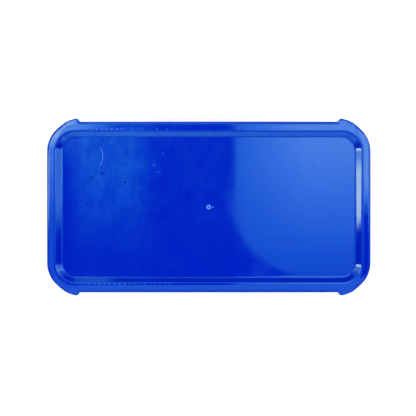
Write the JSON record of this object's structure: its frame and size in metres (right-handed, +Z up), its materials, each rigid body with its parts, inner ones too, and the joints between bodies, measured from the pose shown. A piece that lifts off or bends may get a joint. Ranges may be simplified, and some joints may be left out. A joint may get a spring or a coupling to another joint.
{
  "type": "mud pan with lid",
  "caption": "Tapered plastic trough for joint compound with riveted steel scraping edges, side grips and feet, closed by a lift-off lid with a recessed panel and finger ears.",
  "frame": {"origin": "on the surface the feet stand on, under the middle of the pan", "axes": "+X along the pan, +Y across it from the front wall to the rear wall, +Z up out of its mouth"},
  "size_m": [0.336, 0.183, 0.0859],
  "materials": {
    "lid_plastic": "glossy blue polypropylene, polished mould face, light scuffs",
    "pan_plastic": "satin blue polypropylene, moulded",
    "steel_edge": "brushed along its length, sheared edge",
    "rivet_steel": "pressed stainless heads",
    "grip_rubber": "matt soft rubber with moulded ribs",
    "foot_rubber": "matt moulded rubber"
  },
  "bodies": {
    "pan_body": {"pan": "pan_plastic", "front_scraping_edge": "steel_edge", "rear_scraping_edge": "steel_edge", "front_rivet_1": "rivet_steel", "front_rivet_2": "rivet_steel", "front_rivet_3": "rivet_steel", "front_rivet_4": "rivet_steel", "front_rivet_5": "rivet_steel", "rear_rivet_1": "rivet_steel", "rear_rivet_2": "rivet_steel", "rear_rivet_3": "rivet_steel", "rear_rivet_4": "rivet_steel", "rear_rivet_5": "rivet_steel", "front_hand_grip": "grip_rubber", "rear_hand_grip": "grip_rubber", "foot_front_left": "foot_rubber", "foot_rear_left": "foot_rubber", "foot_front_right": "foot_rubber", "foot_rear_right": "foot_rubber"},
    "lid_body": {"lid": "lid_plastic"}
  },
  "joints": [
    {"name": "lid_lift", "type": "slide", "parent": "pan_body", "child": "lid_body", "axis": [0, 0, 1], "range_m": [0, 0.09]}
  ]
}
